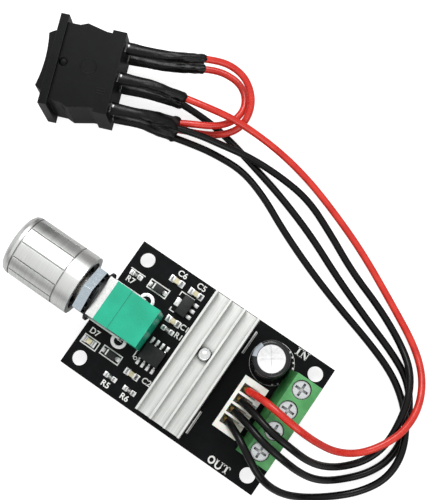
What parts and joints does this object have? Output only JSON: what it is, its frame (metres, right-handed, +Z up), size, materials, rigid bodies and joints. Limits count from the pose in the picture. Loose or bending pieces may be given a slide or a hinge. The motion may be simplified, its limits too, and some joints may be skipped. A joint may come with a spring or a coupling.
{
  "type": "electronic speed controller",
  "caption": "Pulse-width motor speed controller board with a turning knob, screw terminals, a heatsink and a reversing rocker switch wired on flexible leads.",
  "frame": {"origin": "centre of the four board mounting holes, on the underside of the board", "axes": "+X along the board towards the screw terminals, +Z up from the component side"},
  "size_m": [0.1148, 0.0753, 0.0179],
  "materials": {
    "board_laminate": "satin solder mask over glass-fibre laminate",
    "solder": "bright tinned",
    "extruded_aluminium": "extruded satin",
    "turned_aluminium": "turned bright",
    "zinc_steel": "zinc plated",
    "tinned_copper": "tin plated",
    "black_mould": "moulded matt",
    "green_block": "moulded satin",
    "pot_green": "moulded satin",
    "white_nylon": "moulded satin",
    "brass_contact": "stamped",
    "nickel_brass": "nickel plated",
    "can_aluminium": "drawn satin",
    "black_film": "shrunk film",
    "black_rubber": "moulded matt",
    "ceramic_chip": "fired ceramic, tinned ends",
    "resistor_chip": "glazed, tinned ends",
    "lamp_lens": "clear moulded",
    "pot_track_card": "pressed laminate",
    "switch_black": "moulded, lightly textured",
    "red_insulation": "extruded PVC",
    "black_insulation": "extruded PVC",
    "shrink_black": "heat-shrunk sleeve"
  },
  "bodies": {
    "board": {"circuit_board": "board_laminate", "solder_joints": "solder", "heatsink": "extruded_aluminium", "heatsink_screw": "zinc_steel", "power_transistor_body": "black_mould", "power_transistor_leadframe": "tinned_copper", "power_rectifier": "black_mould", "capacitor_can": "can_aluminium", "capacitor_jacket": "black_film", "capacitor_bung": "black_rubber", "capacitor_leads": "tinned_copper", "lead_header": "white_nylon", "lead_header_pins": "tinned_copper", "lead_plug": "white_nylon", "plug_contacts": "brass_contact", "terminal_block_in": "green_block", "terminal_block_out": "green_block", "terminal_pins": "tinned_copper", "pot_bracket": "tinned_copper", "pot_bushing": "nickel_brass", "pot_front_housing": "pot_green", "pot_rear_housing": "pot_green", "pot_track": "pot_track_card", "pot_pins": "tinned_copper", "pot_nut": "nickel_brass", "pot_washers": "zinc_steel", "chip_capacitors": "ceramic_chip", "chip_resistors": "resistor_chip", "power_lamp": "lamp_lens", "signal_diodes": "black_mould", "regulator": "black_mould", "small_package_leads": "tinned_copper", "timer_chip": "black_mould", "timer_chip_leads": "tinned_copper", "switch_housing": "switch_black", "switch_base": "switch_black", "switch_lugs": "tinned_copper", "lead_red": "red_insulation", "lead_black_1": "black_insulation", "lead_black_2": "black_insulation", "lead_black_3": "black_insulation", "jumper_1": "red_insulation", "jumper_2": "red_insulation", "shrink_sleeves": "shrink_black"},
    "knob": {"knob_shell": "turned_aluminium", "knob_core": "black_mould", "pot_shaft": "nickel_brass", "pot_wiper": "black_mould"},
    "rocker": {"rocker": "switch_black", "rocker_plungers": "brass_contact"},
    "contacts": {"contact_bridges": "brass_contact"},
    "screw_1": {"terminal_screw_1": "zinc_steel"},
    "cage_1": {"terminal_cage_1": "zinc_steel"},
    "screw_2": {"terminal_screw_2": "zinc_steel"},
    "cage_2": {"terminal_cage_2": "zinc_steel"},
    "screw_3": {"terminal_screw_3": "zinc_steel"},
    "cage_3": {"terminal_cage_3": "zinc_steel"},
    "screw_4": {"terminal_screw_4": "zinc_steel"},
    "cage_4": {"terminal_cage_4": "zinc_steel"}
  },
  "joints": [
    {"name": "knob_turn", "type": "hinge", "parent": "board", "child": "knob", "pos_m": [-0.03, 0.0001, 0.0081], "axis": [1, 0, 0], "range_deg": [-150, 150]},
    {"name": "rocker_tilt", "type": "hinge", "parent": "board", "child": "rocker", "pos_m": [-0.0606, 0.03747, 0.0055], "axis": [0, 0, 1], "range_deg": [-12, 12]},
    {"name": "contacts_tilt", "type": "hinge", "parent": "board", "child": "contacts", "pos_m": [-0.0549, 0.03965, 0.0055], "axis": [0, 0, 1], "range_deg": [-6, 6]},
    {"name": "screw_1_turn", "type": "hinge", "parent": "board", "child": "screw_1", "pos_m": [0.0212, 0.00782, 0.0108], "axis": [0, 0, 1], "range_deg": [-1600, 0]},
    {"name": "cage_1_rise", "type": "slide", "parent": "board", "child": "cage_1", "axis": [0, 0, 1], "range_m": [0, 0.002]},
    {"name": "screw_2_turn", "type": "hinge", "parent": "board", "child": "screw_2", "pos_m": [0.0212, 0.00274, 0.0108], "axis": [0, 0, 1], "range_deg": [-1600, 0]},
    {"name": "cage_2_rise", "type": "slide", "parent": "board", "child": "cage_2", "axis": [0, 0, 1], "range_m": [0, 0.002]},
    {"name": "screw_3_turn", "type": "hinge", "parent": "board", "child": "screw_3", "pos_m": [0.0212, -0.00234, 0.0108], "axis": [0, 0, 1], "range_deg": [-1600, 0]},
    {"name": "cage_3_rise", "type": "slide", "parent": "board", "child": "cage_3", "axis": [0, 0, 1], "range_m": [0, 0.002]},
    {"name": "screw_4_turn", "type": "hinge", "parent": "board", "child": "screw_4", "pos_m": [0.0212, -0.00742, 0.0108], "axis": [0, 0, 1], "range_deg": [-1600, 0]},
    {"name": "cage_4_rise", "type": "slide", "parent": "board", "child": "cage_4", "axis": [0, 0, 1], "range_m": [0, 0.002]}
  ],
  "couplings": [
    {"joint": "contacts_tilt", "follows": "rocker_tilt", "ratio": -0.5},
    {"joint": "screw_1_turn", "follows": "cage_1_rise", "rad_per_m": -13960},
    {"joint": "screw_2_turn", "follows": "cage_2_rise", "rad_per_m": -13960},
    {"joint": "screw_3_turn", "follows": "cage_3_rise", "rad_per_m": -13960},
    {"joint": "screw_4_turn", "follows": "cage_4_rise", "rad_per_m": -13960}
  ]
}
